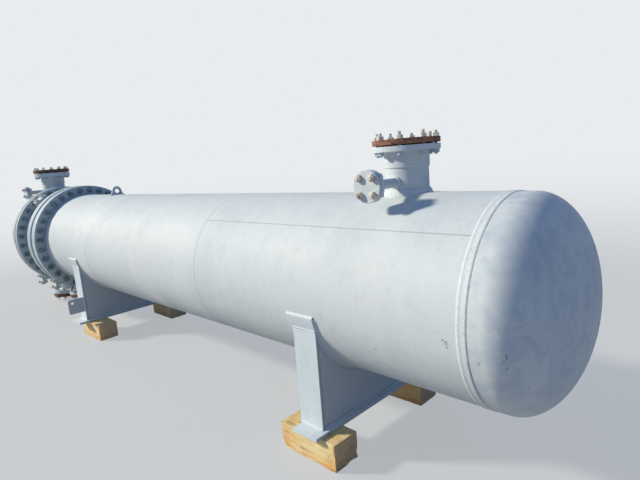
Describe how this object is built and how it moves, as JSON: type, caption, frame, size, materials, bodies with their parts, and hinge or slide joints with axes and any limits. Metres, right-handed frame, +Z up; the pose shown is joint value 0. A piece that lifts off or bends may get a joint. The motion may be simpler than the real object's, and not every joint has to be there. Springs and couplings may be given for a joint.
{
  "type": "shell and tube heat exchanger",
  "caption": "Horizontal shell and tube heat exchanger with a dished rear end, bolted body joints, blinded nozzles, saddles and timber blocks.",
  "frame": {"origin": "on the ground under the middle of the vessel's bounding box", "axes": "+X along the vessel towards the rear dished end, +Z up, -Y the side of the small nozzles"},
  "size_m": [6.9202, 1.255, 1.7538],
  "materials": {
    "vessel_paint": "pale grey-blue brushed paint, scuffed, semi-matt",
    "fasteners": "dull zinc-coated studs and nuts with some rust",
    "blind_steel": "bare forged steel with brown surface rust",
    "joint_steel": "machined steel, dark and weathered",
    "gasket": "dark sheet gasket",
    "timber": "rough-sawn pine, stained and weathered"
  },
  "bodies": {
    "root": {"rear_course": "vessel_paint", "front_course": "vessel_paint", "rear_head": "vessel_paint", "head_weld_band": "vessel_paint", "girth_welds": "vessel_paint", "shell_flange": "vessel_paint", "spacer_ring": "joint_steel", "spool_front_flange": "vessel_paint", "shell_joint_studs": "fasteners", "spool_barrel": "vessel_paint", "spool_bonnet_flange": "vessel_paint", "tubesheet": "joint_steel", "bonnet_flange": "vessel_paint", "bonnet_joint_studs": "fasteners", "bonnet_barrel": "vessel_paint", "bonnet_head": "vessel_paint", "rear_nozzle": "vessel_paint", "rear_nozzle_blind": "blind_steel", "rear_nozzle_studs": "fasteners", "spool_nozzle": "vessel_paint", "spool_nozzle_blind": "blind_steel", "spool_nozzle_studs": "fasteners", "bonnet_top_nozzle": "vessel_paint", "bonnet_top_blind": "blind_steel", "bonnet_top_studs": "fasteners", "bonnet_bottom_nozzle": "vessel_paint", "bonnet_bottom_blind": "blind_steel", "bonnet_bottom_studs": "fasteners", "side_nozzles": "vessel_paint", "side_blinds": "vessel_paint", "side_studs": "fasteners", "nozzle_gaskets": "gasket", "rear_wear_plate": "vessel_paint", "rear_saddle_web": "vessel_paint", "rear_saddle_ribs": "vessel_paint", "rear_base_plate": "vessel_paint", "front_wear_plate": "vessel_paint", "front_saddle_web": "vessel_paint", "front_saddle_ribs": "vessel_paint", "front_base_plate": "vessel_paint", "lifting_lug": "vessel_paint", "pull_lugs": "vessel_paint", "rear_timbers": "timber", "front_timbers": "timber"}
  },
  "joints": []
}
